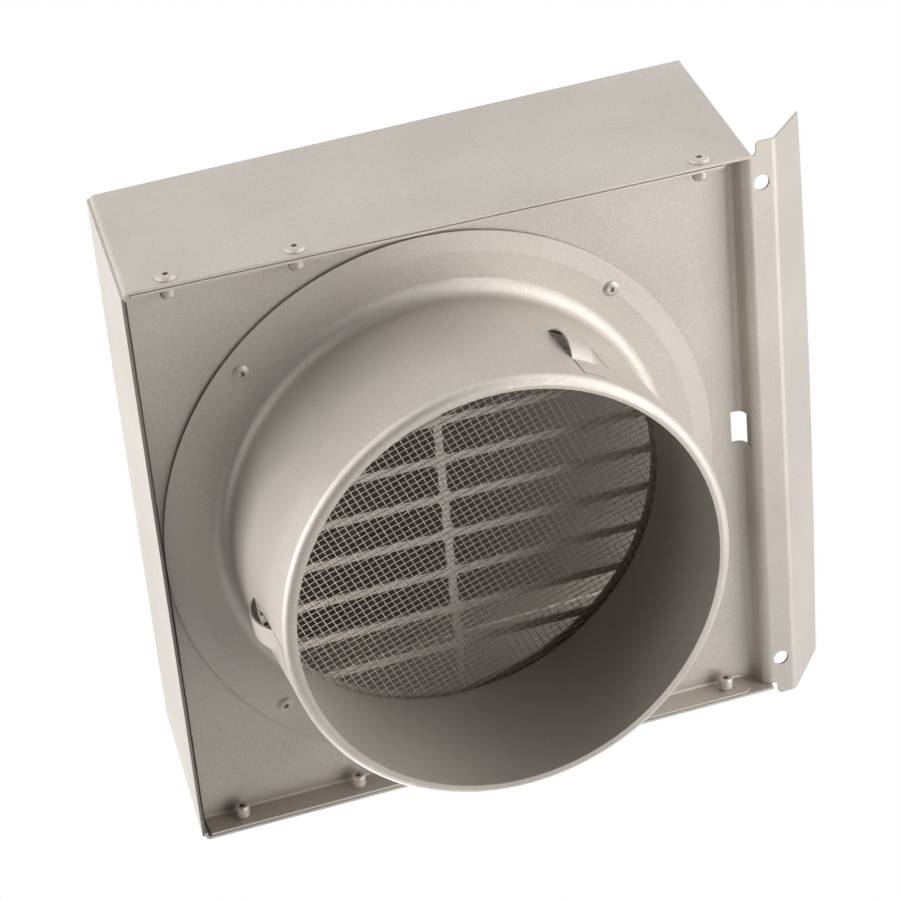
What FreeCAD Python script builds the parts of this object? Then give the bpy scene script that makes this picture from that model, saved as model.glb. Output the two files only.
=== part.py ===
import FreeCAD, Part
import math
import os
import Sketcher

# Deep square hood for a wall vent, seen as it hangs: +Z up, +Y into the wall, -Y outdoors.
# The origin lies where the axis of the duct collar meets the plane of the wall.

SIZES = (
    ("hood_width", 135.0, "outside width across the two cheeks"),
    ("top_height", 65.0, "rear edge of the top wall above the collar axis"),
    ("bottom_drop", 73.0, "rear lower corner of the cheeks below the collar axis"),
    ("top_depth", 53.6, "front panel in front of the wall at its upper edge"),
    ("bottom_depth", 59.9, "front panel in front of the wall at its lower edge"),
    ("top_fall", 4.9, "fall of the top wall towards the front"),
    ("bottom_fall", 7.7, "fall of the open lower edge towards the front"),
    ("sheet_wall", 0.6, "thickness of all sheet pieces"),
    ("bend_radius", 1.2, "outside radius of the folded edges"),
    ("front_lap_top", 12.2, "cheek's lap on the front panel, upper end"),
    ("front_lap_bottom", 4.2, "cheek's lap on the front panel, lower end"),
    ("top_lap", 8.0, "cheek's lap under the top wall"),
    ("lap_relief", 3.0, "corner relief between laps and room behind the top lap"),
    ("plate_recess", 6.4, "rear face of the back plate in front of the wall"),
    ("plate_gap", 2.1, "back plate's upper edge below the top wall's rear edge"),
    ("flange_clearance", 0.2, "gap between the cheeks and the riveted flanges"),
    ("cheek_flange_end", 67.6, "lower end of the back plate's riveted flanges below the collar axis"),
    ("step_drop", 70.4, "start of the step below the collar axis"),
    ("step_draft", 13.0, "draft of the step"),
    ("step_radius", 2.2, "outside radius of the bends at the step and the drip lip"),
    ("seat_recess", 1.2, "rear face of the screw flange in front of the wall"),
    ("seat_width", 7.5, "height of the screw flange"),
    ("seat_half", 69.8, "half length of the screw flange"),
    ("ear_drop", 4.2, "upper corners of the screw flange's ends below the step"),
    ("ear_radius", 1.0, "corner radius of the screw flange's ends"),
    ("lip_length", 18.6, "length of the drip lip in its middle"),
    ("lip_crown", 2.4, "drip lip's edge is this much longer in its middle than at its ends"),
    ("lip_angle", 48.8, "turn of the drip lip towards the front"),
    ("lip_mitre", 1.0, "taper of the drip lip's ends"),
    ("screw_spacing", 120.6, "distance between the screw holes"),
    ("screw_drop", 4.0, "screw holes below the top of the screw flange"),
    ("screw_hole_radius", 1.8, "radius of the screw holes"),
    ("drain_width", 7.8, "width of the drain slot"),
    ("drain_reach", 2.4, "drain slot's reach into the back plate"),
    ("drain_rise", 3.9, "drain slot's reach up the step"),
    ("grille_radius", 48.7, "radius of the slotted field"),
    ("grille_pitch", 9.4, "pitch of the grille bars"),
    ("grille_bar", 1.9, "width of the grille bars"),
    ("slot_corner", 1.0, "corner radius of the slots"),
    ("screen_radius", 56.5, "radius of the insect screen"),
    ("screen_thickness", 0.5, "thickness of the insect screen"),
    ("screen_turn", 17.4, "turn of the weave against the slots"),
    ("screen_pitch", 9.6, "pitch of the screen's ridges"),
    ("screen_ridge", 1.4, "width of the screen's ridges"),
    ("collar_radius", 49.0, "outside radius of the duct collar"),
    ("collar_reach", 38.0, "collar's end behind the plane of the wall"),
    ("collar_lip", 2.7, "width of the collar's turned-in lip"),
    ("collar_shoulder", 2.0, "outside radius of the collar's shoulder"),
    ("collar_root", 3.5, "radius of the collar's root"),
    ("rim_radius", 63.0, "radius of the collar's mounting rim"),
    ("rim_band", 4.5, "width of the rim's turned-down edge"),
    ("rim_fall", 0.25, "fall of the rim's turned-down edge"),
    ("tab_start", 13.0, "lower end of the lanced tabs behind the wall"),
    ("tab_length", 14.0, "length of the raised part of a tab"),
    ("tab_slit_reach", 34.2, "slit's end behind the wall"),
    ("tab_slit", 0.45, "width of the slit"),
    ("tab_rise", 2.6, "height of a tab's raised edge"),
    ("tab_least_rise", 0.02, "height left where a tab's strip meets the wall again"),
    ("tab_sweep", 11.0, "angle that a tab covers"),
    ("tab_hook_sweep", 6.5, "angle of the slit beside the collar's end"),
    ("collar_rivet_offset", 41.4, "collar rivets beside and above the collar axis"),
    ("collar_rivet_radius", 1.75, "radius of the collar rivets' heads"),
    ("collar_rivet_shank", 1.0, "radius of the collar rivets' shanks"),
    ("collar_rivet_height", 0.5, "height of the collar rivets' heads"),
    ("collar_rivet_dimple", 0.6, "radius of the dimple in the collar rivets"),
    ("collar_rivet_ring", 1.05, "radius of the highest ring of the collar rivets"),
    ("collar_rivet_clearance", 0.3, "least gap between the collar's root and the collar rivets"),
    ("cheek_rivet_depth", 3.4, "cheek rivets in front of the wall"),
    ("cheek_rivet_upper", 54.7, "upper cheek rivets above the collar axis"),
    ("cheek_rivet_middle", 27.4, "middle cheek rivets above the collar axis"),
    ("cheek_rivet_lower", 62.4, "lower cheek rivets below the collar axis"),
    ("cheek_rivet_head", 2.4, "radius of the cheek rivets' heads"),
    ("cheek_rivet_height", 0.9, "height of the cheek rivets' heads"),
    ("cheek_rivet_shank", 1.2, "radius of the cheek rivets' shanks"),
    ("cheek_rivet_tail", 1.65, "radius of the cheek rivets' set tails"),
    ("cheek_rivet_tail_length", 2.9, "length of the cheek rivets' set tails"),
    ("cheek_rivet_tail_end", 1.4, "radius of the set tails at both ends"),
    ("cheek_rivet_tail_taper", 0.5, "length of the set tails' tapered ends"),
    ("mandrel_radius", 0.7, "radius of the broken mandrels"),
    ("mandrel_recess", 0.5, "mandrel ends below the rivets' ends"),
)

# Angle of each tab's cut edge from straight up, and the way its strip runs from there
TAB_ANGLES = ((1.2, 1), (-114.3, -1))

# Course of a tab's raised strip: share of its sweep, share of its height
TAB_COURSE = ((0.024, 1.0), (0.55, 0.92), (0.82, 0.0), (1.024, 0.0))

# Rounding of a blind rivet's head: share of its height lost, share of its radius
HEAD_COURSE = ((0.0, 0.45), (0.3, 0.8), (0.75, 1.0))

# Room for finding edges by their place, and the share from which a direction follows an axis
TOUCH = 0.01
TINY = 1e-6
MOSTLY = 0.9

doc = FreeCAD.newDocument("vent_cap")
sheet = doc.addObject("Spreadsheet::Sheet", "Sizes")
for row, (alias, number, note) in enumerate(SIZES, start=1):
    sheet.set("A%d" % row, note)
    sheet.set("B%d" % row, str(number))
    sheet.setAlias("B%d" % row, alias)
doc.recompute()


class Size:
    """A length or angle with its present value and the sheet formula that drives it."""

    def __init__(self, value, formula):
        self.value = value
        self.formula = formula

    def __add__(self, other):
        other = as_size(other)
        return Size(self.value + other.value, "(%s + %s)" % (self.formula, other.formula))

    def __sub__(self, other):
        other = as_size(other)
        return Size(self.value - other.value, "(%s - %s)" % (self.formula, other.formula))

    def __mul__(self, other):
        other = as_size(other)
        return Size(self.value * other.value, "(%s * %s)" % (self.formula, other.formula))

    def __truediv__(self, other):
        other = as_size(other)
        return Size(self.value / other.value, "(%s / %s)" % (self.formula, other.formula))

    def __neg__(self):
        return Size(-self.value, "(-1 * %s)" % self.formula)


def as_size(number):
    return number if isinstance(number, Size) else Size(number, repr(float(number)))


def cell(alias):
    return Size(float(sheet.get(alias)), "Sizes.%s" % alias)


def root(size):
    return Size(math.sqrt(size.value), "sqrt(%s)" % size.formula)


def lesser(first, second):
    return Size(min(first.value, second.value), "min(%s; %s)" % (first.formula, second.formula))


def sine(angle):
    return Size(math.sin(math.radians(angle.value)), "sin(%s * 1 deg)" % angle.formula)


def cosine(angle):
    return Size(math.cos(math.radians(angle.value)), "cos(%s * 1 deg)" % angle.formula)


def tangent(angle):
    return Size(math.tan(math.radians(angle.value)), "tan(%s * 1 deg)" % angle.formula)


ZERO = Size(0.0, "0")
ONE = Size(1.0, "1")


def bind(item, path, size):
    item.setExpression(path, size.formula)


def new_body(label):
    body = doc.addObject("PartDesign::Body", label)
    body.Label = label
    body.AllowCompound = True
    return body


def new_sketch(body, name, plane, offset=(ZERO, ZERO, ZERO), turn=0.0):
    """A sketch on one of the body's origin planes, shifted in the plane's own directions."""
    sketch = body.newObject("Sketcher::SketchObject", name)
    support = [item for item in body.Origin.OriginFeatures if item.Role == plane][0]
    sketch.AttachmentSupport = [(support, "")]
    sketch.MapMode = "FlatFace"
    base = FreeCAD.Vector(*[size.value for size in offset])
    sketch.AttachmentOffset = FreeCAD.Placement(base, FreeCAD.Rotation(FreeCAD.Vector(0, 1, 0), turn))
    for letter, size in zip("xyz", offset):
        bind(sketch, "AttachmentOffset.Base.%s" % letter, size)
    return sketch


def pin_point(sketch, geometry, end, point):
    """Fixes one end of a sketch line at a point of driven coordinates."""
    for kind, size in zip(("DistanceX", "DistanceY"), point):
        index = sketch.addConstraint(Sketcher.Constraint(kind, geometry, end, size.value))
        bind(sketch, "Constraints[%d]" % index, size)


def add_outline(sketch, points):
    """A closed outline of straight lines through driven points."""
    points = [tuple(as_size(part) for part in point) for point in points]
    corners = [FreeCAD.Vector(x.value, y.value, 0) for x, y in points]
    first = sketch.GeometryCount
    count = len(points)
    for index in range(count):
        sketch.addGeometry(Part.LineSegment(corners[index], corners[(index + 1) % count]), False)
    for index in range(count):
        following = first + (index + 1) % count
        sketch.addConstraint(Sketcher.Constraint("Coincident", first + index, 2, following, 1))
        pin_point(sketch, first + index, 1, points[index])


def add_box(sketch, left, right, low, high):
    add_outline(sketch, ((left, low), (right, low), (right, high), (left, high)))


def add_circle(sketch, centre, radius):
    centre = tuple(as_size(part) for part in centre)
    middle = FreeCAD.Vector(centre[0].value, centre[1].value, 0)
    index = sketch.addGeometry(Part.Circle(middle, FreeCAD.Vector(0, 0, 1), radius.value), False)
    pin_point(sketch, index, 3, centre)
    limit = sketch.addConstraint(Sketcher.Constraint("Radius", index, radius.value))
    bind(sketch, "Constraints[%d]" % limit, radius)


def add_round_waste(sketch, across, depth, radius, side):
    """The sliver outside a quarter circle, cut away to round a corner of the sheet."""
    points = (
        ((across - radius) * side, depth),
        (across * side, depth),
        (across * side, depth + radius),
    )
    corners = [FreeCAD.Vector(x.value, y.value, 0) for x, y in points]
    for first, second in ((0, 1), (1, 2)):
        sketch.addGeometry(Part.LineSegment(corners[first], corners[second]), False)
    centre = FreeCAD.Vector(corners[0].x, corners[2].y, 0)
    circle = Part.Circle(centre, FreeCAD.Vector(0, 0, 1), radius.value)
    angles = (-math.pi / 2, 0) if side > 0 else (math.pi, math.pi * 1.5)
    arc = sketch.addGeometry(Part.ArcOfCircle(circle, *angles), False)
    sketch.addConstraint(Sketcher.Constraint("Coincident", 0, 2, 1, 1))
    sketch.addConstraint(Sketcher.Constraint("Coincident", arc, 1 if side > 0 else 2, 0, 1))
    sketch.addConstraint(Sketcher.Constraint("Coincident", arc, 2 if side > 0 else 1, 1, 2))
    for geometry, end, point in ((0, 1, points[0]), (0, 2, points[1]), (1, 2, points[2])):
        pin_point(sketch, geometry, end, point)
    limit = sketch.addConstraint(Sketcher.Constraint("Radius", arc, radius.value))
    bind(sketch, "Constraints[%d]" % limit, radius)


def add_crown_waste(sketch, half, low, crown, depth):
    """The waste under an edge that is bowed downwards, from its ends to its lowest point."""
    left = (-half, low + crown)
    right = (half, low + crown)
    lower = low - depth
    corners = [left, (-half, lower), (half, lower), right]
    points = [FreeCAD.Vector(x.value, y.value, 0) for x, y in corners]
    for index in range(3):
        sketch.addGeometry(Part.LineSegment(points[index], points[index + 1]), False)
        pin_point(sketch, index, 1, corners[index])
    pin_point(sketch, 2, 2, right)
    for index in range(2):
        sketch.addConstraint(Sketcher.Constraint("Coincident", index, 2, index + 1, 1))
    bow = (crown * crown + half * half) / (crown * 2)
    arc = sketch.addGeometry(Part.Arc(points[0], FreeCAD.Vector(0, low.value, 0), points[3]), False)
    sketch.addConstraint(Sketcher.Constraint("Coincident", arc, 1, 0, 1))
    sketch.addConstraint(Sketcher.Constraint("Coincident", arc, 2, 2, 2))
    limit = sketch.addConstraint(Sketcher.Constraint("Radius", arc, bow.value))
    bind(sketch, "Constraints[%d]" % limit, bow)


def finish_feature(body, feature):
    body.Tip = feature
    doc.recompute()
    if feature.Shape.isNull() or "Invalid" in feature.State:
        raise RuntimeError("failed feature: %s %s" % (feature.Name, feature.getStatusString()))
    return feature


def add_pad(body, sketch, length, side="One side", backwards=False):
    pad = body.newObject("PartDesign::Pad", sketch.Name + "_pad")
    pad.Profile = sketch
    pad.SideType = side
    pad.Reversed = backwards
    bind(pad, "Length", length)
    return finish_feature(body, pad)


def add_pocket(body, sketch, length=None, side="Symmetric", backwards=False):
    """A cut along the sketch's normal, right through unless it has a length."""
    before = body.Tip.Shape.Volume
    pocket = body.newObject("PartDesign::Pocket", sketch.Name + "_pocket")
    pocket.Profile = sketch
    pocket.SideType = side
    pocket.Reversed = backwards
    pocket.Type = "ThroughAll" if length is None else "Length"
    if length is not None:
        bind(pocket, "Length", length)
    finish_feature(body, pocket)
    if pocket.Shape.Volume >= before:
        raise RuntimeError("nothing was cut by " + pocket.Name)
    return pocket


def add_revolution(body, sketch, axis):
    turned = body.newObject("PartDesign::Revolution", sketch.Name + "_turned")
    turned.Profile = sketch
    turned.ReferenceAxis = (sketch, [axis])
    turned.Angle = 360.0
    return finish_feature(body, turned)


def edges_where(feature, test):
    return ["Edge%d" % (index + 1) for index, edge in enumerate(feature.Shape.Edges) if test(edge)]


def faces_where(feature, test):
    return ["Face%d" % (index + 1) for index, face in enumerate(feature.Shape.Faces) if test(face)]


def add_fillet(body, name, radius, test):
    base = body.Tip
    names = edges_where(base, test)
    if not names:
        raise RuntimeError("no edge to round for " + name)
    fillet = body.newObject("PartDesign::Fillet", name)
    fillet.Base = (base, names)
    bind(fillet, "Radius", radius)
    return finish_feature(body, fillet)


def add_shell(body, name, wall, open_faces):
    base = body.Tip
    shell = body.newObject("PartDesign::Thickness", name)
    shell.Base = (base, faces_where(base, open_faces))
    shell.Mode = "Skin"
    shell.Join = "Intersection"
    shell.Reversed = True
    bind(shell, "Value", wall)
    return finish_feature(body, shell)


def is_straight(edge):
    ends = edge.Vertexes
    return len(ends) == 2 and abs(ends[0].Point.distanceToPoint(ends[1].Point) - edge.Length) < TINY


def runs_along(edge, axis):
    """True for a straight edge that lies along one of the three axes."""
    if not is_straight(edge):
        return False
    return abs(abs(edge.tangentAt(edge.FirstParameter).dot(axis)) - 1) < TINY


def near(value, size):
    return abs(value - size.value) < TOUCH


AXIS_X = FreeCAD.Vector(1, 0, 0)
AXIS_Y = FreeCAD.Vector(0, 1, 0)
AXIS_Z = FreeCAD.Vector(0, 0, 1)

wall = cell("sheet_wall")
bend = cell("bend_radius")
inner_bend = bend - wall
half_width = cell("hood_width") / 2
top_height = cell("top_height")
bottom_drop = cell("bottom_drop")
top_depth = cell("top_depth")
bottom_depth = cell("bottom_depth")
recess = cell("plate_recess")

# Side profile of the hood: slopes of the top wall, the front panel and the open lower edge
front_top_height = top_height - cell("top_fall")
front_bottom_drop = bottom_drop + cell("bottom_fall")
top_slope = cell("top_fall") / top_depth
bottom_slope = cell("bottom_fall") / bottom_depth
front_slope = (bottom_depth - top_depth) / (front_top_height + front_bottom_drop)

cheek_rivet_heights = (
    cell("cheek_rivet_upper"),
    cell("cheek_rivet_middle"),
    -cell("cheek_rivet_lower"),
)
collar_rivet_offset = cell("collar_rivet_offset")
collar_rivet_places = [
    (collar_rivet_offset * across, collar_rivet_offset * up) for across in (-1, 1) for up in (-1, 1)
]


def make_front_cover():
    """Top wall and front panel, one sheet folded along the upper front edge."""
    body = new_body("front_cover")
    profile = new_sketch(body, "cover_profile", "YZ_Plane")
    add_outline(profile, (
        (ZERO, top_height),
        (-top_depth, front_top_height),
        (-bottom_depth, -front_bottom_drop),
        (ZERO, -bottom_drop),
    ))
    add_pad(body, profile, (half_width - bend) * 2, "Symmetric")

    def is_fold(edge):
        middle = edge.CenterOfMass
        return runs_along(edge, AXIS_X) and near(middle.y, -top_depth) and near(middle.z, front_top_height)

    def is_open(face):
        normal = face.normalAt(0, 0)
        return abs(normal.x) > MOSTLY or normal.y > MOSTLY or normal.z < -MOSTLY

    add_fillet(body, "cover_fold", bend, is_fold)
    add_shell(body, "cover_sheet", wall, is_open)
    return body


def make_cheek(label, side):
    """Side wall with laps folded behind the front panel and under the top wall."""
    body = new_body(label)
    top_line = top_height - wall * root(top_slope * top_slope + 1)
    front_line = top_depth - wall * root(front_slope * front_slope + 1)
    upper_depth = front_line + front_slope * (front_top_height - top_line)
    upper_depth = upper_depth / (ONE - front_slope * top_slope)
    lower_depth = front_line + front_slope * (front_top_height + bottom_drop)
    lower_depth = lower_depth / (ONE - front_slope * bottom_slope)
    upper_front = top_line - top_slope * upper_depth
    lower_front = -bottom_drop - bottom_slope * lower_depth
    outside = half_width * side
    profile = new_sketch(body, label + "_profile", "YZ_Plane", (ZERO, ZERO, outside))
    add_outline(profile, (
        (ZERO, top_line),
        (-upper_depth, upper_front),
        (-lower_depth, lower_front),
        (ZERO, -bottom_drop),
    ))
    widest_lap = cell("front_lap_top")
    add_pad(body, profile, widest_lap, backwards=side > 0)

    def is_open(face):
        normal = face.normalAt(0, 0)
        return normal.x * side < -MOSTLY or normal.y > MOSTLY or normal.z < -MOSTLY

    def is_fold(edge, across):
        middle = edge.CenterOfMass
        if not is_straight(edge) or not near(middle.x, across):
            return False
        along = edge.tangentAt(edge.FirstParameter)
        in_front = abs(along.z) > MOSTLY and middle.y < -upper_depth.value / 2
        on_top = abs(along.y) > MOSTLY and middle.z > 0
        return in_front or on_top

    def is_corner(edge):
        middle = edge.CenterOfMass
        return runs_along(edge, AXIS_X) and near(middle.y, -upper_depth) and near(middle.z, upper_front)

    add_fillet(body, label + "_corner", bend, is_corner)
    add_shell(body, label + "_sheet", wall, is_open)

    # The front lap narrows downwards, because the panel leans and the sheet's edge doesn't
    relief = cell("lap_relief")
    lap_line = new_sketch(body, label + "_lap_line", "XZ_Plane", (ZERO, ZERO, upper_depth / 2))
    upper_edge = (half_width - widest_lap) * side
    lower_edge = (half_width - cell("front_lap_bottom")) * side
    clear = (half_width - widest_lap * 2) * side
    add_outline(lap_line, (
        (upper_edge, upper_front - relief),
        (lower_edge, lower_front - relief),
        (clear, lower_front - relief),
        (clear, upper_front - relief),
    ))
    add_pocket(body, lap_line, lower_depth, "One side", backwards=True)

    # The top lap keeps clear of the back plate behind it and of the front lap
    top_trim = new_sketch(body, label + "_top_trim", "XY_Plane", (ZERO, ZERO, top_height))
    lap_edge = (half_width - cell("top_lap")) * side
    fold_line = (half_width - bend - wall) * side
    lap_rear = -recess - wall - relief
    lap_front = -upper_depth + relief
    far_front = -lower_depth - relief
    add_outline(top_trim, (
        (fold_line, relief),
        (fold_line, lap_rear),
        (lap_edge, lap_rear),
        (lap_edge, lap_front),
        (fold_line, lap_front),
        (fold_line, far_front),
        (clear, far_front),
        (clear, relief),
    ))
    add_pocket(body, top_trim, top_height - upper_front + relief, "One side")
    add_fillet(body, label + "_folds_outside", bend, lambda edge: is_fold(edge, outside))
    add_fillet(body, label + "_folds_inside", inner_bend, lambda edge: is_fold(edge, outside - wall * side))
    drill_cheek_rivets(body, label + "_holes")
    return body


def drill_cheek_rivets(body, name):
    holes = new_sketch(body, name, "YZ_Plane")
    for height in cheek_rivet_heights:
        add_circle(holes, (-cell("cheek_rivet_depth"), height), cell("cheek_rivet_shank"))
    add_pocket(body, holes)


def make_back_plate():
    """Slotted plate with riveted side flanges, a step, a screw flange and a drip lip."""
    body = new_body("back_plate")
    plate_edge = half_width - wall - cell("flange_clearance")
    plate_top = top_height - cell("plate_gap")
    seat_recess = cell("seat_recess")
    step_turn = ZERO + 90 - cell("step_draft")
    lip_angle = cell("lip_angle")
    lip_length = cell("lip_length")
    step_drop = cell("step_drop")
    seat_top = step_drop + (recess - seat_recess) * tangent(cell("step_draft"))
    seat_bottom = seat_top + cell("seat_width")
    lip_depth = seat_recess + lip_length * sine(lip_angle)
    lip_drop = seat_bottom + lip_length * cosine(lip_angle)
    step_shift = wall * tangent(step_turn / 2)
    lip_shift = wall * tangent(lip_angle / 2)
    seat_half = cell("seat_half")
    blank_half = plate_edge + seat_half
    profile = new_sketch(body, "plate_profile", "YZ_Plane")
    add_outline(profile, (
        (-recess, plate_top),
        (-recess, -step_drop),
        (-seat_recess, -seat_top),
        (-seat_recess, -seat_bottom),
        (-lip_depth, -lip_drop),
        (-lip_depth - wall * cosine(lip_angle), -lip_drop + wall * sine(lip_angle)),
        (-seat_recess - wall, -seat_bottom + lip_shift),
        (-seat_recess - wall, -seat_top - step_shift),
        (-recess - wall, -step_drop - step_shift),
        (-recess - wall, plate_top),
    ))
    add_pad(body, profile, blank_half * 2, "Symmetric")

    # The sides are trimmed to the cheeks, with the screw flange's ends standing out
    ear_top = step_drop + cell("ear_drop")
    beyond = blank_half + lip_length
    sides = new_sketch(body, "plate_sides", "XZ_Plane")
    for side in (-1, 1):
        add_outline(sides, (
            (plate_edge * side, plate_top + lip_length),
            (plate_edge * side, -ear_top),
            (seat_half * side, -ear_top),
            (seat_half * side, -seat_bottom),
            ((seat_half - cell("lip_mitre")) * side, -lip_drop),
            (beyond * side, -lip_drop),
            (beyond * side, plate_top + lip_length),
        ))
    add_pocket(body, sides)
    crown = new_sketch(body, "plate_lip_crown", "XZ_Plane")
    add_crown_waste(crown, seat_half, -lip_drop, cell("lip_crown") * cosine(lip_angle), lip_length)
    add_pocket(body, crown)

    for side in (-1, 1):
        flange = new_sketch(body, "plate_flange_%s" % ("right" if side > 0 else "left"), "YZ_Plane",
                            (ZERO, ZERO, plate_edge * side))
        chamfer = wall * 2
        add_outline(flange, (
            (-recess - wall, plate_top),
            (-recess - wall, -cell("cheek_flange_end")),
            (-chamfer, -cell("cheek_flange_end")),
            (ZERO, -cell("cheek_flange_end") + chamfer),
            (ZERO, plate_top),
        ))
        add_pad(body, flange, wall, backwards=side > 0)

    def at_line(edge, depth, drop):
        middle = edge.CenterOfMass
        return runs_along(edge, AXIS_X) and near(middle.y, -depth) and near(middle.z, -drop)

    def is_tight_bend(edge):
        return (at_line(edge, recess, step_drop)
                or at_line(edge, seat_recess + wall, seat_top + step_shift)
                or at_line(edge, seat_recess + wall, seat_bottom - lip_shift))

    def is_wide_bend(edge):
        return (at_line(edge, recess + wall, step_drop + step_shift)
                or at_line(edge, seat_recess, seat_top)
                or at_line(edge, seat_recess, seat_bottom))

    def is_ear_corner(edge):
        middle = edge.CenterOfMass
        across = abs(middle.x)
        return (runs_along(edge, AXIS_Y) and near(middle.z, -ear_top)
                and (near(across, plate_edge) or near(across, seat_half)))

    def is_flange_inside(edge):
        middle = edge.CenterOfMass
        return runs_along(edge, AXIS_Z) and near(middle.y, -recess) and near(abs(middle.x), plate_edge - wall)

    add_fillet(body, "plate_tight_bends", cell("step_radius") - wall, is_tight_bend)
    add_fillet(body, "plate_wide_bends", cell("step_radius"), is_wide_bend)
    add_fillet(body, "plate_ear_corners", cell("ear_radius"), is_ear_corner)
    add_fillet(body, "plate_flange_inside", inner_bend, is_flange_inside)
    for side in (-1, 1):
        name = "plate_flange_round_%s" % ("right" if side > 0 else "left")
        waste = new_sketch(body, name, "XY_Plane", (ZERO, ZERO, -cell("cheek_flange_end")))
        add_round_waste(waste, plate_edge, -recess - wall, bend, side)
        add_pocket(body, waste, plate_top + step_drop, "One side", backwards=True)

    cut_grille(body)

    drain = new_sketch(body, "plate_drain", "XZ_Plane")
    drain_half = cell("drain_width") / 2
    drain_low = step_drop + cell("drain_rise") * tangent(cell("step_draft"))
    add_box(drain, -drain_half, drain_half, -drain_low, -step_drop + cell("drain_reach"))
    add_pocket(body, drain)

    screws = new_sketch(body, "plate_screw_holes", "XZ_Plane")
    for side in (-1, 1):
        place = (cell("screw_spacing") / 2 * side, -seat_top - cell("screw_drop"))
        add_circle(screws, place, cell("screw_hole_radius"))
    add_pocket(body, screws)

    rivets = new_sketch(body, "plate_rivet_holes", "XZ_Plane")
    for place in collar_rivet_places:
        add_circle(rivets, place, cell("collar_rivet_shank"))
    add_pocket(body, rivets)
    drill_cheek_rivets(body, "plate_flange_holes")
    return body


def cut_grille(body):
    """Rows of slots in a round field, parted by cross bars and one upright bar."""
    radius = cell("grille_radius")
    pitch = cell("grille_pitch")
    bar_half = cell("grille_bar") / 2
    reach = radius + bar_half
    front = new_sketch(body, "grille_field", "XZ_Plane")
    add_circle(front, (ZERO, ZERO), radius)
    add_pocket(body, front)

    rows_each_side = int((radius - bar_half - pitch / 2).value / pitch.value)
    for row in range(-rows_each_side, rows_each_side + 1):
        bar = new_sketch(body, "grille_bar_%d" % (row + rows_each_side), "XZ_Plane", (ZERO, ZERO, recess))
        middle = pitch * row
        add_box(bar, middle - bar_half, middle + bar_half, -reach, reach)
        add_pad(body, bar, wall)
    upright = new_sketch(body, "grille_upright", "XZ_Plane", (ZERO, ZERO, recess))
    add_box(upright, -reach, reach, -bar_half, bar_half)
    add_pad(body, upright, wall)

    def is_slot_corner(edge):
        middle = edge.CenterOfMass
        spread = math.hypot(middle.x, middle.z)
        return runs_along(edge, AXIS_Y) and spread < reach.value

    add_fillet(body, "grille_corners", cell("slot_corner"), is_slot_corner)


def make_screen():
    """Insect screen between the back plate and the collar: ridges both ways in a thin disc."""
    body = new_body("insect_screen")
    radius = cell("screen_radius")
    thickness = cell("screen_thickness")
    pitch = cell("screen_pitch")
    ridge = cell("screen_ridge")
    ridges_each_side = int(cell("grille_radius").value / pitch.value)
    ring = new_sketch(body, "screen_ring", "XZ_Plane")
    add_circle(ring, (ZERO, ZERO), radius)
    add_circle(ring, (ZERO, ZERO), cell("grille_radius") + cell("slot_corner"))
    add_pad(body, ring, thickness, backwards=True)
    outermost = pitch * ridges_each_side + ridge / 2
    for name, direction in (("screen_up", "H_Axis"), ("screen_across", "V_Axis")):
        bar = new_sketch(body, name, "XZ_Plane")
        if direction == "H_Axis":
            add_box(bar, -outermost, -outermost + ridge, -radius, radius)
        else:
            add_box(bar, -radius, radius, -outermost, -outermost + ridge)
        first = add_pad(body, bar, thickness, backwards=True)
        repeat = body.newObject("PartDesign::LinearPattern", name + "_pattern")
        repeat.Originals = [first]
        repeat.Direction = (bar, [direction])
        repeat.Occurrences = ridges_each_side * 2 + 1
        bind(repeat, "Length", pitch * (ridges_each_side * 2))
        finish_feature(body, repeat)
    trim = new_sketch(body, "screen_trim", "XZ_Plane")
    add_circle(trim, (ZERO, ZERO), radius)
    add_circle(trim, (ZERO, ZERO), radius * 2)
    add_pocket(body, trim)
    turn = FreeCAD.Rotation(AXIS_Y, cell("screen_turn").value)
    body.Placement = FreeCAD.Placement(FreeCAD.Vector(0, -recess.value, 0), turn)
    bind(body, "Placement.Base.y", -recess)
    doc.recompute()
    return body


def make_collar():
    """Drawn duct collar with a riveted rim, a turned-in lip and lanced spring tabs."""
    body = new_body("collar")
    radius = cell("collar_radius")
    reach = cell("collar_reach")
    lip_radius = radius - cell("collar_lip")
    rim_radius = cell("rim_radius")
    rim_front = -recess + cell("screen_thickness")
    rim_rear = rim_front + wall
    band_start = rim_radius - cell("rim_band")
    fall = cell("rim_fall")
    rivet_circle = collar_rivet_offset * math.sqrt(2)
    root_room = rivet_circle - cell("collar_rivet_radius") - cell("collar_rivet_clearance") - radius
    root_radius = lesser(cell("collar_root"), root_room)
    profile = new_sketch(body, "collar_profile", "XY_Plane")
    add_outline(profile, (
        (lip_radius, reach),
        (radius, reach),
        (radius, rim_rear),
        (band_start, rim_rear),
        (rim_radius, rim_rear - fall),
        (rim_radius, rim_front - fall),
        (band_start, rim_front),
        (radius - wall, rim_front),
        (radius - wall, reach - wall),
        (lip_radius, reach - wall),
    ))
    add_revolution(body, profile, "V_Axis")

    def circle_at(edge, size, height):
        if not isinstance(edge.Curve, Part.Circle):
            return False
        return near(edge.Curve.Radius, size) and near(edge.Curve.Center.y, height)

    rounds = (
        ("collar_shoulder_outside", cell("collar_shoulder"), radius, reach),
        ("collar_root_outside", root_radius, radius, rim_rear),
        ("collar_root_inside", root_radius + wall, radius - wall, rim_front),
    )
    for name, round_radius, size, height in rounds:
        add_fillet(body, name, round_radius,
                   lambda edge, size=size, height=height: circle_at(edge, size, height))

    holes = new_sketch(body, "collar_rivet_holes", "XZ_Plane")
    for place in collar_rivet_places:
        add_circle(holes, place, cell("collar_rivet_shank"))
    add_pocket(body, holes)
    for number, (angle, hand) in enumerate(TAB_ANGLES, start=1):
        lance_tab(body, number, angle, hand)
    return body


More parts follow.
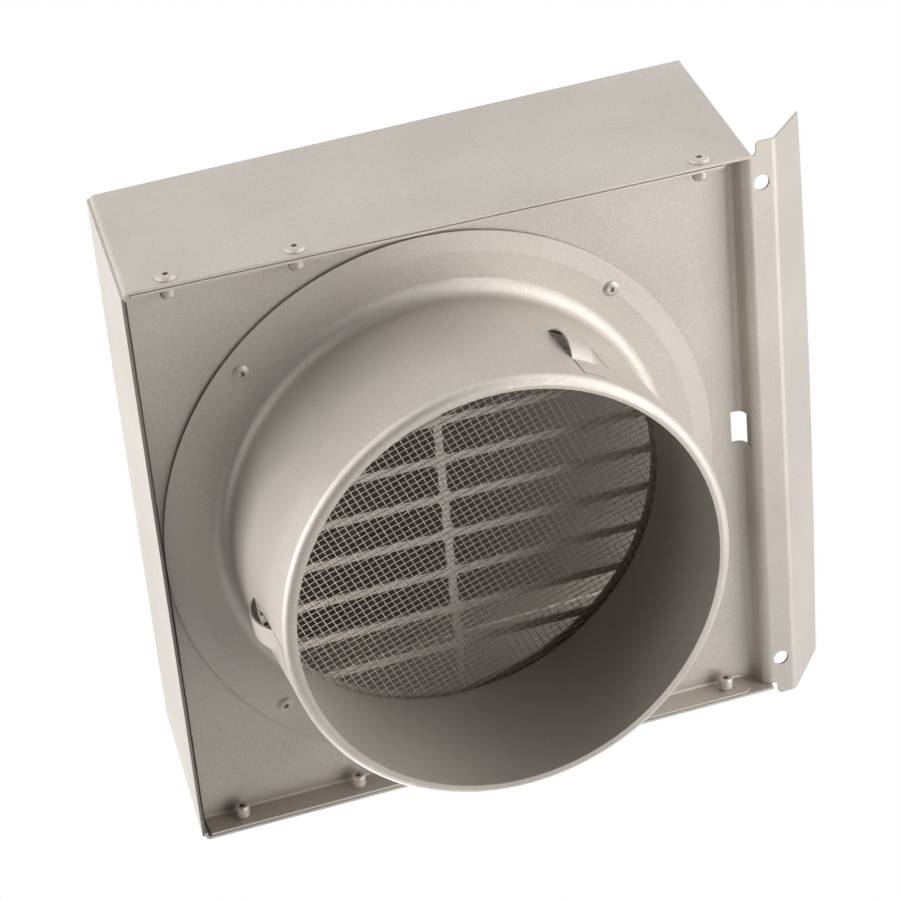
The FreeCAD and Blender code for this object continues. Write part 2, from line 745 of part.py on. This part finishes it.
def radial_sketch(body, name, angle):
    """A sketch in the half plane at an angle from straight up: across is the radius, up is +Y."""
    return new_sketch(body, name, "XY_Plane", turn=angle - 90)


def add_groove(body, sketch, sweep, hand):
    before = body.Tip.Shape.Volume
    groove = body.newObject("PartDesign::Groove", sketch.Name + "_groove")
    groove.Profile = sketch
    groove.ReferenceAxis = (sketch, ["V_Axis"])
    groove.Reversed = hand < 0
    bind(groove, "Angle", sweep)
    finish_feature(body, groove)
    if groove.Shape.Volume >= before:
        raise RuntimeError("nothing was cut by " + groove.Name)


def lance_tab(body, number, angle, hand):
    """Cuts one tab free along a hooked slit and raises its middle into an open-ended bulge."""
    radius = cell("collar_radius")
    start = cell("tab_start")
    finish = start + cell("tab_length")
    slit_end = cell("tab_slit_reach")
    slit = cell("tab_slit")
    sweep = cell("tab_sweep")
    inside = radius - wall * 2
    outside = radius + wall
    slit_sweep = slit / radius * math.degrees(1)
    cuts = (
        ("window", start, finish, sweep),
        ("slit", finish, slit_end, slit_sweep),
        ("hook", slit_end, slit_end + slit, cell("tab_hook_sweep")),
    )
    for part, low, high, turn in cuts:
        cut = radial_sketch(body, "tab_%d_%s" % (number, part), angle)
        add_box(cut, inside, outside, low, high)
        add_groove(body, cut, turn, hand)

    sections = []
    for index, (place, share) in enumerate(TAB_COURSE):
        turn = angle + hand * sweep.value * place
        section = radial_sketch(body, "tab_%d_section_%d" % (number, index), turn)
        rise = cell("tab_rise") * share + cell("tab_least_rise")
        add_bow(section, radius, start - slit, finish + slit, rise)
        sections.append(section)
    bulge = body.newObject("PartDesign::AdditiveLoft", "tab_%d_bulge" % number)
    bulge.Ruled = True
    bulge.Profile = sections[0]
    bulge.Sections = sections[1:]
    finish_feature(body, bulge)


def add_bow(sketch, radius, low, high, rise):
    """A thin bowed strip between two heights, whose ends lie inside the collar's wall."""
    bow_radius = (rise * rise + (high - low) * (high - low) / 4) / (rise * 2)
    middle = (low + high) / 2
    inset = wall / 6
    faces = (radius - inset, radius - wall + inset)
    for face in faces:
        ends = [FreeCAD.Vector(face.value, height.value, 0) for height in (low, high)]
        top = FreeCAD.Vector(face.value + rise.value, middle.value, 0)
        sketch.addGeometry(Part.Arc(ends[0], top, ends[1]), False)
    for height in (low, high):
        line = [FreeCAD.Vector(face.value, height.value, 0) for face in faces]
        sketch.addGeometry(Part.LineSegment(line[0], line[1]), False)
    for arc, face in enumerate(faces):
        for end, height in enumerate((low, high), start=1):
            sketch.addConstraint(Sketcher.Constraint("Coincident", 1 + end, arc + 1, arc, end))
            pin_point(sketch, arc, end, (face, height))
        limit = sketch.addConstraint(Sketcher.Constraint("Radius", arc, bow_radius.value))
        bind(sketch, "Constraints[%d]" % limit, bow_radius)


def make_collar_rivets():
    """Four low rivets with dimpled heads that hold the collar, the screen and the back plate."""
    body = new_body("collar_rivets")
    head = cell("collar_rivet_radius")
    shank = cell("collar_rivet_shank")
    height = cell("collar_rivet_height")
    dimple = cell("collar_rivet_dimple")
    pit = height / 2
    skirt = height / 4
    seat = -recess + cell("screen_thickness") + wall
    under = -recess - wall
    for number, (across, up) in enumerate(collar_rivet_places):
        profile = new_sketch(body, "collar_rivet_%d" % number, "XY_Plane", (across, ZERO, up))
        add_outline(profile, (
            (ZERO, seat - pit),
            (dimple, seat),
            (dimple, seat + height),
            (cell("collar_rivet_ring"), seat + height),
            (head, seat + skirt),
            (head, seat),
            (shank, seat),
            (shank, under),
            (head, under),
            (head, under - height),
            (ZERO, under - height),
        ))
        add_revolution(body, profile, "V_Axis")
    return body


def make_cheek_rivets(label, side):
    """Three blind rivets that join one cheek to the back plate's flange."""
    body = new_body(label)
    outside = half_width * side
    inside = (half_width - wall * 2 - cell("flange_clearance")) * side
    head = cell("cheek_rivet_head")
    height = cell("cheek_rivet_height")
    shank = cell("cheek_rivet_shank")
    tail = cell("cheek_rivet_tail")
    bore = cell("mandrel_radius")
    head_end = outside + height * side
    tail_end = inside - cell("cheek_rivet_tail_length") * side
    tail_neck = cell("cheek_rivet_tail_end")
    taper = cell("cheek_rivet_tail_taper") * side
    dome = [(head_end - height * side * lost, head * share) for lost, share in HEAD_COURSE]
    for number, up in enumerate(cheek_rivet_heights):
        place = (ZERO, -cell("cheek_rivet_depth"), up)
        profile = new_sketch(body, "%s_%d" % (label, number), "XY_Plane", place)
        add_outline(profile, (
            (head_end, bore),
            *dome,
            (outside, head),
            (outside, shank),
            (inside, shank),
            (inside, tail_neck),
            (inside - taper, tail),
            (tail_end + taper, tail),
            (tail_end, tail_neck),
            (tail_end, bore),
        ))
        add_revolution(body, profile, "H_Axis")
    return body


def make_mandrels(label, side):
    """Broken-off steel stubs that stay in the bores of the blind rivets."""
    recess_in = cell("mandrel_recess")
    outer_end = half_width + cell("cheek_rivet_height") - recess_in
    tail_end = half_width - wall * 2 - cell("flange_clearance") - cell("cheek_rivet_tail_length")
    inner_end = tail_end + recess_in
    stubs = []
    for number, up in enumerate(cheek_rivet_heights):
        stub = doc.addObject("Part::Cylinder", "%s_%d" % (label, number))
        bind(stub, "Radius", cell("mandrel_radius"))
        bind(stub, "Height", outer_end - inner_end)
        stub.Placement.Rotation = FreeCAD.Rotation(AXIS_Y, 90)
        bind(stub, "Placement.Base.x", inner_end if side > 0 else -outer_end)
        bind(stub, "Placement.Base.y", -cell("cheek_rivet_depth"))
        bind(stub, "Placement.Base.z", up)
        stubs.append(stub)
    group = doc.addObject("Part::Compound", label)
    group.Label = label
    group.Links = stubs
    doc.recompute()
    return group


subparts = [
    make_front_cover(),
    make_cheek("left_cheek", -1),
    make_cheek("right_cheek", 1),
    make_back_plate(),
    make_screen(),
    make_collar(),
    make_collar_rivets(),
    make_cheek_rivets("left_rivets", -1),
    make_cheek_rivets("right_rivets", 1),
    make_mandrels("left_mandrels", -1),
    make_mandrels("right_mandrels", 1),
]
doc.recompute()

for item in doc.Objects:
    if "Invalid" in item.State or "Error" in item.State:
        raise RuntimeError("failed object: " + item.Name)
for item in subparts:
    if item.Shape.isNull() or not item.Shape.isValid() or not item.Shape.Solids:
        raise RuntimeError("bad shape: " + item.Label)

os.makedirs("parts", exist_ok=True)
for item in subparts:
    item.Shape.exportStep("parts/%s.step" % item.Label)
    print(item.Label, len(item.Shape.Solids), "solids, volume", round(item.Shape.Volume, 2))
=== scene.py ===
import math
import random

import bpy
from mathutils import Matrix, Vector


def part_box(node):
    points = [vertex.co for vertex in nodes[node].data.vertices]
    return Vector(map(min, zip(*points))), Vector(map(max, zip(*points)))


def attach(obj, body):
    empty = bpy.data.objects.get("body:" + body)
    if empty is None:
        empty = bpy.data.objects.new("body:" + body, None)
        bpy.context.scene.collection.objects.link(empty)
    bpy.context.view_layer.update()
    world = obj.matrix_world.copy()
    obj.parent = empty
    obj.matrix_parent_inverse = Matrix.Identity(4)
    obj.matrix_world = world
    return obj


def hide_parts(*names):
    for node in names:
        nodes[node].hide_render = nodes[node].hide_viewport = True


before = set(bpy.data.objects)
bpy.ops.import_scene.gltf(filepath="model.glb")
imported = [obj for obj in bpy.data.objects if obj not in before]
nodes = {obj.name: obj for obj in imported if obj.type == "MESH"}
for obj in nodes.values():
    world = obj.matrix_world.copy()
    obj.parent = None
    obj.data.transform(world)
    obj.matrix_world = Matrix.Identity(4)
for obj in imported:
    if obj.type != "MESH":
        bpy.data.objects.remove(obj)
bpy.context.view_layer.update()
bpy.context.scene.view_settings.view_transform = "Standard"

MM = 0.001
WHITE = (1.0, 1.0, 1.0, 1.0)

# Camera at the photograph's viewing angle, in the part's frame
EYE = Vector((-0.328237, 0.552686, 0.158870))
RIGHT = Vector((0.085691, 0.320579, -0.943338))
DOWN = Vector((0.873980, 0.430394, 0.225654))
LOOK = Vector((0.478347, -0.843795, -0.243298))
LENS_MM = 122.239
SENSOR_MM = 36.0
NEAREST_SEEN = 0.01
FARTHEST_SEEN = 20.0

# Insect screen: a plain weave of two families of wires, in the middle of the node that it replaces
screen_low, screen_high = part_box("insect_screen")
SCREEN_MIDDLE_Y = (screen_low[1] + screen_high[1]) / 2
SCREEN_RADIUS = 56.3 * MM
OUT = Vector((0.0, 1.0, 0.0))
WIRE_RADIUS = 0.1 * MM
WIRE_SIDES = 5
WIRE_STRAY = 0.03
WEAVE_RISE = 0.06 * MM
WEFT_PITCH = 1.673 * MM
WEFT_ALONG = Vector((0.923, 0.0, -0.384)).normalized()
WEFT_FIRST_SIDE = 1.0
WARP_PITCH = 1.426 * MM
WARP_ALONG = Vector((-0.2995, 0.0, -0.954)).normalized()
WARP_FIRST_SIDE = -WEFT_FIRST_SIDE

# Studio, in metres: a white sweep behind the hood, and softboxes by degrees above and round it, and watts
SWEEP_EDGE = 0.1
LAMP_DISTANCE = 0.95
LAMP_SIZE = 0.9
LAMPS = (
    ("right_softbox", 47.0, 0.0, 9.8),
    ("upper_right_softbox", 15.0, 45.0, 6.7),
    ("upper_left_softbox", -5.0, 135.0, 4.3),
    ("left_softbox", -5.0, 180.0, 9.0),
    ("lower_left_softbox", 50.0, 240.0, 2.0),
    ("lower_softbox", -5.0, 270.0, 9.0),
)
FLOOR_Z = -1.6
FLOOR_SIZE = 3.0
FLOOR_COLOUR = (0.85, 0.85, 0.85, 1.0)

# Colours, linear
PAINT = (0.528, 0.486, 0.442, 1.0)
PAINT_DEEP = (0.470, 0.430, 0.389, 1.0)
# Painted shade inside the hood, on the front cover's inner faces
INSIDE_SHADE = (0.265, 0.244, 0.226, 1.0)
# Bare cut edges of the laps, near white as a painted highlight
BARE_EDGE_HIGHLIGHT = (0.95, 0.95, 0.93, 1.0)
# Painted shade under the collar's raised tabs
UNDER_TAB_SHADE = (0.05, 0.045, 0.042, 1.0)
STEEL = (0.20, 0.185, 0.175, 1.0)
STEEL_DARK = (0.08, 0.07, 0.065, 1.0)
WIRE = (0.74, 0.70, 0.65, 1.0)

# Paint: soft clouds, fine flakes and a sprayed skin, each a noise with the values between which it blends
CLOUDS = {"scale": 28.0, "detail": 4.0, "roughness": 0.55}
CLOUD_TONE = (0.35, 0.7)
CLOUD_GLOSS = (0.3, 0.75)
FLAKES = {"detail": 2.0, "roughness": 0.6}
FLAKE_SPREAD = (0.3, 0.7)
FLAKE_SHADE = (0.90, 1.08)
SHEET_FLAKE_SCALE = 2600.0
RIVET_FLAKE_SCALE = 3200.0
WIRE_FLAKE_SCALE = 3600.0
SPRAY = {"scale": 900.0, "detail": 2.0, "roughness": 0.5}
SPRAY_STRENGTH = 0.10
SPRAY_DEPTH = 0.05 * MM
PAINT_ROUGHNESS = (0.50, 0.58)
PAINT_METAL = 0.65

# Broken steel of the mandrels
GRAIN = {"scale": 4000.0, "detail": 3.0, "roughness": 0.6}
GRAIN_SPREAD = (0.3, 0.7)
GRAIN_STRENGTH = 0.5
GRAIN_DEPTH = 0.1 * MM
STEEL_ROUGHNESS = 0.5
STEEL_METAL = 0.9

# Cosines to a direction at which a face starts to count as looking along it, and counts in full
FACING_EDGE = (0.3, 0.5)

# Inner sides of the front cover, which look along +Y and -Z, darker as painted shade inside the hood, and
# glossier
COVER_INWARD = (0.0, 0.75, -0.66)
INSIDE_GLOSS = 0.20

# Cut edges of the cheeks' laps: bare, and near white and unmetallic as a painted highlight; they look
# inwards, and lie this near to the middle
LEFT_CUT = (1.0, 0.0, 0.0)
RIGHT_CUT = (-1.0, 0.0, 0.0)
CUT_WITHIN = 64.5 * MM
CUT_BLEND = 0.5 * MM
CUT_HIGHLIGHT_METAL = 0.0

# Undersides of the collar's raised tabs, near black as painted shade: they lie past its inner face and past
# this Y
TAB_INSIDE_RADIUS = 48.6 * MM
TAB_START = 11.0 * MM
TAB_BLEND = 0.1 * MM
TOWARDS_AXIS = (-1.0, 0.0, -1.0)


def add_object(name, data):
    """A new object that is linked to the scene."""
    thing = bpy.data.objects.new(name, data)
    bpy.context.scene.collection.objects.link(thing)
    return thing


def set_camera():
    camera = add_object("camera", bpy.data.cameras.new("camera"))
    turn = Matrix((RIGHT, -DOWN, -LOOK)).transposed()
    camera.matrix_world = Matrix.Translation(EYE) @ turn.to_4x4()
    camera.data.sensor_width = SENSOR_MM
    camera.data.lens = LENS_MM
    camera.data.clip_start = NEAREST_SEEN
    camera.data.clip_end = FARTHEST_SEEN
    bpy.context.scene.camera = camera


class Tree:
    """Short calls for making and joining shader nodes."""

    def __init__(self, holder):
        holder.use_nodes = True
        self.nodes = holder.node_tree.nodes
        self.links = holder.node_tree.links
        self.nodes.clear()

    def put(self, value, socket):
        """Links the value to the socket where it is a socket too, and otherwise sets it."""
        if isinstance(value, bpy.types.NodeSocket):
            self.links.new(value, socket)
        else:
            socket.default_value = value

    def add(self, kind, inputs=None, **settings):
        node = self.nodes.new(kind)
        for name, value in settings.items():
            setattr(node, name, value)
        for name, value in (inputs or {}).items():
            self.put(value, node.inputs[name])
        return node

    def noise(self, place, scale, detail, roughness):
        inputs = {"Vector": place, "Scale": scale, "Detail": detail, "Roughness": roughness}
        return self.add("ShaderNodeTexNoise", inputs).outputs["Fac"]

    def ramp(self, value, low, high, out_low=0.0, out_high=1.0):
        inputs = {"Value": value, "From Min": low, "From Max": high, "To Min": out_low, "To Max": out_high}
        return self.add("ShaderNodeMapRange", inputs).outputs["Result"]

    def math(self, operation, *values):
        return self.add("ShaderNodeMath", dict(enumerate(values)), operation=operation).outputs[0]

    def vector(self, operation, *values):
        """The outputs of a node that works on vectors."""
        return self.add("ShaderNodeVectorMath", dict(enumerate(values)), operation=operation).outputs

    def axis(self, place, name):
        """One of a place's coordinates, X, Y or Z."""
        return self.add("ShaderNodeSeparateXYZ", {0: place}).outputs[name]

    def facing(self, direction):
        """1 where a face looks along the direction, and 0 where it doesn't."""
        normal = self.add("ShaderNodeNewGeometry").outputs["True Normal"]
        cosine = self.vector("DOT_PRODUCT", normal, direction)["Value"]
        return self.ramp(cosine, *FACING_EDGE)

    def mix(self, share, first, second):
        """The first colour where the share is 0, and the second where it is 1."""
        node = self.add("ShaderNodeMix", {"Factor": share}, data_type="RGBA")
        colours = [socket for socket in node.inputs if socket.type == "RGBA"]
        for value, socket in zip((first, second), colours):
            self.put(value, socket)
        return [socket for socket in node.outputs if socket.type == "RGBA"][0]

    def metal_surface(self, colour, metal, roughness, bump):
        """A metal surface for the material, with a bump given by its strength, depth and height."""
        strength, depth, height = bump
        skin = self.add("ShaderNodeBump", {"Strength": strength, "Distance": depth, "Height": height})
        shader = self.add("ShaderNodeBsdfPrincipled", {
            "Base Color": colour,
            "Metallic": metal,
            "Roughness": roughness,
            "Normal": skin.outputs["Normal"],
        })
        self.add("ShaderNodeOutputMaterial", {"Surface": shader.outputs["BSDF"]})


def cut_edge_highlight(tree, place, direction):
    """1 on a cheek's cut edges that look along the direction near the middle, where the painted highlight
    goes, and 0 elsewhere.
    """
    from_middle = tree.math("ABSOLUTE", tree.axis(place, "X"))
    within = tree.ramp(from_middle, CUT_WITHIN + CUT_BLEND, CUT_WITHIN)
    return tree.math("MULTIPLY", tree.facing(direction), within)


def under_tab_shade(tree, place):
    """1 on the faces of the raised tabs that look at the collar's axis, where the painted shade goes, and 0
    elsewhere.
    """
    to_axis = tree.vector("MULTIPLY", place, TOWARDS_AXIS)["Vector"]
    radius = tree.vector("LENGTH", to_axis)["Value"]
    inward = tree.vector("NORMALIZE", to_axis)["Vector"]
    raised = tree.ramp(radius, TAB_INSIDE_RADIUS, TAB_INSIDE_RADIUS + TAB_BLEND)
    past_start = tree.ramp(tree.axis(place, "Y"), TAB_START, TAB_START + TAB_BLEND)
    return tree.math("MULTIPLY", tree.math("MULTIPLY", raised, past_start), tree.facing(inward))


def metallic_paint(name, pale=PAINT, deep=PAINT_DEEP, flake_scale=SHEET_FLAKE_SCALE,
                   inward=None, cut=None, shade_under_tabs=False):
    """Satin paint with soft clouds and flakes, and where asked painted shade on inner faces, bare cut edges
    with a painted highlight, or painted shade under the tabs.
    """
    material = bpy.data.materials.new(name)
    tree = Tree(material)
    place = tree.add("ShaderNodeTexCoord").outputs["Object"]
    clouds = tree.noise(place, **CLOUDS)
    flakes = tree.noise(place, flake_scale, **FLAKES)
    spray = tree.noise(place, **SPRAY)
    tone = tree.mix(tree.ramp(clouds, *CLOUD_TONE), deep, pale)
    roughness = tree.ramp(clouds, *CLOUD_GLOSS, *PAINT_ROUGHNESS)
    metal = PAINT_METAL
    if inward:
        # Painted shade: the front cover's inner faces turn darker
        inside = tree.facing(inward)
        tone = tree.mix(inside, tone, INSIDE_SHADE)
        roughness = tree.math("SUBTRACT", roughness, tree.math("MULTIPLY", inside, INSIDE_GLOSS))
    if cut:
        # Painted highlight: the bare cut edges turn near white and unmetallic
        bare_highlight = cut_edge_highlight(tree, place, cut)
        tone = tree.mix(bare_highlight, tone, BARE_EDGE_HIGHLIGHT)
        metal = tree.ramp(bare_highlight, 0.0, 1.0, PAINT_METAL, CUT_HIGHLIGHT_METAL)
    if shade_under_tabs:
        # Painted shade: the undersides of the raised tabs turn near black
        tone = tree.mix(under_tab_shade(tree, place), tone, UNDER_TAB_SHADE)
    speck = tree.ramp(flakes, *FLAKE_SPREAD, *FLAKE_SHADE)
    colour = tree.vector("MULTIPLY", tone, speck)["Vector"]
    tree.metal_surface(colour, metal, roughness, (SPRAY_STRENGTH, SPRAY_DEPTH, spray))
    return material


def broken_steel(name):
    """Dull grey steel of the mandrel ends, with a grainy break."""
    material = bpy.data.materials.new(name)
    tree = Tree(material)
    place = tree.add("ShaderNodeTexCoord").outputs["Object"]
    grain = tree.noise(place, **GRAIN)
    colour = tree.mix(tree.ramp(grain, *GRAIN_SPREAD), STEEL_DARK, STEEL)
    tree.metal_surface(colour, STEEL_METAL, STEEL_ROUGHNESS, (GRAIN_STRENGTH, GRAIN_DEPTH, grain))
    return material


def dress(node, material):
    piece = nodes[node]
    piece.data.materials.clear()
    piece.data.materials.append(material)


def tube(points, radius, sides, across, out):
    """Corners and faces of a tube along points that lie in one plane, with closed ends."""
    corners = []
    faces = []
    for point in points:
        for side in range(sides):
            angle = 2 * math.pi * side / sides
            corners.append(point + across * (radius * math.cos(angle)) + out * (radius * math.sin(angle)))
    for index in range(len(points) - 1):
        first = index * sides
        for side in range(sides):
            following = (side + 1) % sides
            faces.append((first + side, first + following, first + sides + following, first + sides + side))
    last = (len(points) - 1) * sides
    faces.append(tuple(range(sides - 1, -1, -1)))
    faces.append(tuple(range(last, last + sides)))
    return corners, faces


class WireFamily:
    """Parallel wires of the screen, with slightly uneven places across their direction."""

    def __init__(self, name, along, pitch, first_side):
        self.name = name
        self.along = along
        self.across = along.cross(OUT).normalized()
        self.first_side = first_side
        count = int(SCREEN_RADIUS / pitch)
        draw = random.Random(name)
        self.places = {}
        for index in range(-count, count + 1):
            self.places[index] = pitch * (index + draw.uniform(-WIRE_STRAY, WIRE_STRAY))

    def crossings(self, row, other):
        """How far along one wire it meets each wire of the other family, and on which side it passes."""
        offset = self.places[row]
        half = math.sqrt(max(SCREEN_RADIUS ** 2 - offset ** 2, 0.0))
        lean = self.across.dot(other.across)
        meet = self.along.dot(other.across)
        found = []
        for column, place in other.places.items():
            run = (place - offset * lean) / meet
            side = self.first_side if (row + column) % 2 == 0 else -self.first_side
            if abs(run) < half:
                found.append((run, side))
        return sorted(found)

    def wire(self, row, other):
        """Points along one wire, which passes over and under at its crossings and is level between them."""
        heights = []
        for run, side in self.crossings(row, other):
            if heights:
                heights.append(((heights[-1][0] + run) / 2, 0.0))
            heights.append((run, side * WEAVE_RISE))
        middle = self.across * self.places[row] + OUT * SCREEN_MIDDLE_Y
        return [middle + self.along * run + OUT * height for run, height in heights]


def weave(family, other, material):
    """One family of wires as a piece, woven through the other family."""
    corners = []
    faces = []
    for row in family.places:
        points = family.wire(row, other)
        if len(points) < 2:
            continue
        more, rings = tube(points, WIRE_RADIUS, WIRE_SIDES, family.across, OUT)
        base = len(corners)
        corners.extend(more)
        faces.extend(tuple(base + corner for corner in ring) for ring in rings)
    mesh = bpy.data.meshes.new(family.name)
    mesh.from_pydata(corners, [], faces)
    mesh.update()
    mesh.shade_smooth()
    mesh.materials.append(material)
    piece = add_object(family.name, mesh)
    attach(piece, "root")
    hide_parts("insect_screen")


def white_for_eye(tree, light, kinds):
    """White for the named kinds of ray, and the given light for all others."""
    white = tree.add("ShaderNodeBackground", {"Color": WHITE, "Strength": 1.0})
    path = tree.add("ShaderNodeLightPath")
    seen = path.outputs[kinds[0]]
    for kind in kinds[1:]:
        seen = tree.math("MAXIMUM", seen, path.outputs[kind])
    return tree.add("ShaderNodeMixShader", {0: seen, 1: light, 2: white.outputs[0]}).outputs[0]


def set_world():
    """A sweep behind the hood that is white for every ray, and a dark room that the eye sees as white."""
    world = bpy.data.worlds.new("studio")
    bpy.context.scene.world = world
    tree = Tree(world)
    direction = tree.add("ShaderNodeTexCoord").outputs["Generated"]
    sweep = tree.ramp(tree.axis(direction, "Y"), SWEEP_EDGE, -SWEEP_EDGE)
    light = tree.add("ShaderNodeBackground", {"Color": WHITE, "Strength": sweep})
    shown = white_for_eye(tree, light.outputs[0], ("Is Camera Ray", "Is Transmission Ray"))
    tree.add("ShaderNodeOutputWorld", {"Surface": shown})


def add_floor():
    """Plain pale floor well below the hood, which hangs on a wall."""
    half = FLOOR_SIZE / 2
    corners = [(-half, -half, FLOOR_Z), (half, -half, FLOOR_Z), (half, half, FLOOR_Z), (-half, half, FLOOR_Z)]
    mesh = bpy.data.meshes.new("floor")
    mesh.from_pydata(corners, [], [(0, 1, 2, 3)])
    material = bpy.data.materials.new("floor")
    tree = Tree(material)
    pale = tree.add("ShaderNodeBsdfDiffuse", {"Color": FLOOR_COLOUR})
    shown = white_for_eye(tree, pale.outputs[0], ("Is Camera Ray", "Is Glossy Ray", "Is Transmission Ray"))
    tree.add("ShaderNodeOutputMaterial", {"Surface": shown})
    mesh.materials.append(material)
    floor = add_object("floor", mesh)


def add_softbox(name, height, side, watts):
    """A softbox aimed at the hood: degrees above the sweep, and degrees from -Z towards -X round it."""
    lamp = bpy.data.lights.new(name, "AREA")
    lamp.shape = "SQUARE"
    lamp.size = LAMP_SIZE
    lamp.energy = watts
    holder = add_object(name, lamp)
    height = math.radians(height)
    side = math.radians(side)
    away = Vector((-math.cos(height) * math.sin(side), math.sin(height), -math.cos(height) * math.cos(side)))
    holder.location = away * LAMP_DISTANCE
    holder.rotation_mode = "QUATERNION"
    holder.rotation_quaternion = (-away).to_track_quat("-Z", "Y")


set_camera()
set_world()
add_floor()
for softbox in LAMPS:
    add_softbox(*softbox)

rivet_paint = metallic_paint("rivet_paint", flake_scale=RIVET_FLAKE_SCALE)
wire_paint = metallic_paint("wire_paint", WIRE, WIRE, WIRE_FLAKE_SCALE)
mandrel_steel = broken_steel("mandrel_steel")

dress("front_cover", metallic_paint("cover_paint", inward=COVER_INWARD))
dress("left_cheek", metallic_paint("left_cheek_paint", cut=LEFT_CUT))
dress("right_cheek", metallic_paint("right_cheek_paint", cut=RIGHT_CUT))
dress("collar", metallic_paint("collar_paint", shade_under_tabs=True))
dress("back_plate", metallic_paint("plate_paint"))
for node in ("collar_rivets", "left_rivets", "right_rivets"):
    dress(node, rivet_paint)
for node in ("left_mandrels", "right_mandrels"):
    dress(node, mandrel_steel)

weft = WireFamily("screen_weft", WEFT_ALONG, WEFT_PITCH, WEFT_FIRST_SIDE)
warp = WireFamily("screen_warp", WARP_ALONG, WARP_PITCH, WARP_FIRST_SIDE)
weave(weft, warp, wire_paint)
weave(warp, weft, wire_paint)
